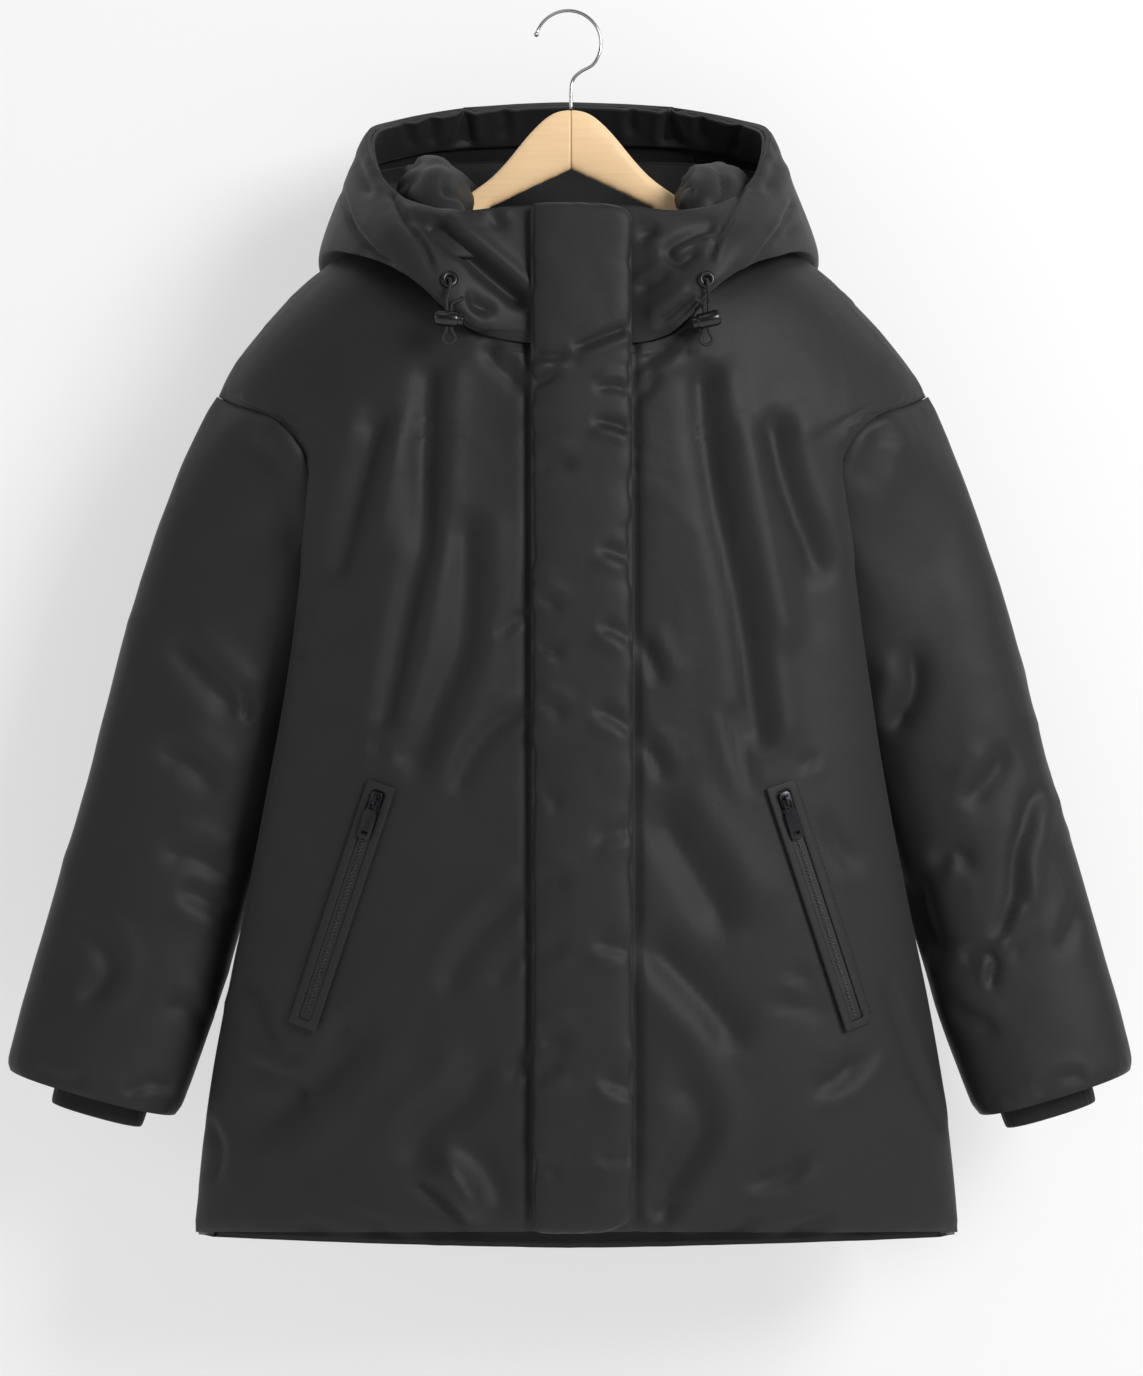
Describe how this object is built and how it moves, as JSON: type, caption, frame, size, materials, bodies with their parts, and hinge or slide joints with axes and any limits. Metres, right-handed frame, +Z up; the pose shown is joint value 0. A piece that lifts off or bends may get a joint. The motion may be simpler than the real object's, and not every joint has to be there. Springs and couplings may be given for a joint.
{
  "type": "hooded parka on a hanger",
  "caption": "Padded parka with a wide hood, a covered front, slanted zip pockets and knit cuffs, hung on a wooden hanger.",
  "frame": {"origin": "inside of the top of the hook's bend, where the hanger rests", "axes": "+X to the right as seen from the front, +Y from the front of the coat to its back, +Z up"},
  "size_m": [0.882, 0.294, 0.9769],
  "materials": {
    "shell": "matte woven shell cloth, padded",
    "lining": "plain woven lining with a faint sheen",
    "knit": "1x1 rib knit",
    "tape": "coated zip tape with coil teeth",
    "dark_metal": "gunmetal, half gloss",
    "cord": "braided elastic cord",
    "lock_plastic": "moulded, glossy",
    "wood": "pale wood, clear satin lacquer",
    "steel": "bright plated wire"
  },
  "bodies": {
    "parka": {"front_left": "shell", "front_right": "shell", "back": "shell", "sleeve_left": "shell", "sleeve_right": "shell", "hood_side_left": "shell", "hood_side_right": "shell", "hood_centre": "shell", "storm_flap": "shell", "pocket_welt_left": "shell", "pocket_welt_right": "shell", "hood_facing": "lining", "hood_lining": "lining", "rib_cuff_left": "knit", "rib_cuff_right": "knit", "zip_tape_left": "tape", "zip_tape_right": "tape", "slider_left": "dark_metal", "slider_right": "dark_metal", "eyelet_left": "dark_metal", "eyelet_right": "dark_metal", "cord_left": "cord", "cord_right": "cord", "cord_lock_left": "lock_plastic", "cord_lock_right": "lock_plastic", "hanger_bar_left": "wood", "hanger_bar_right": "wood", "hanger_hook": "steel"},
    "pull_left": {"pull_tab_left": "dark_metal"},
    "pull_right": {"pull_tab_right": "dark_metal"}
  },
  "joints": [
    {"name": "pull_tab_left_swing", "type": "hinge", "parent": "parka", "child": "pull_left", "pos_m": [-0.14505, -0.0991, -0.61118], "axis": [-0.927, 0.2011, 0.3166], "range_deg": [0, 120]},
    {"name": "pull_tab_right_swing", "type": "hinge", "parent": "parka", "child": "pull_right", "pos_m": [0.1643, -0.0987, -0.61117], "axis": [-0.9254, -0.208, -0.3167], "range_deg": [0, 120]}
  ]
}
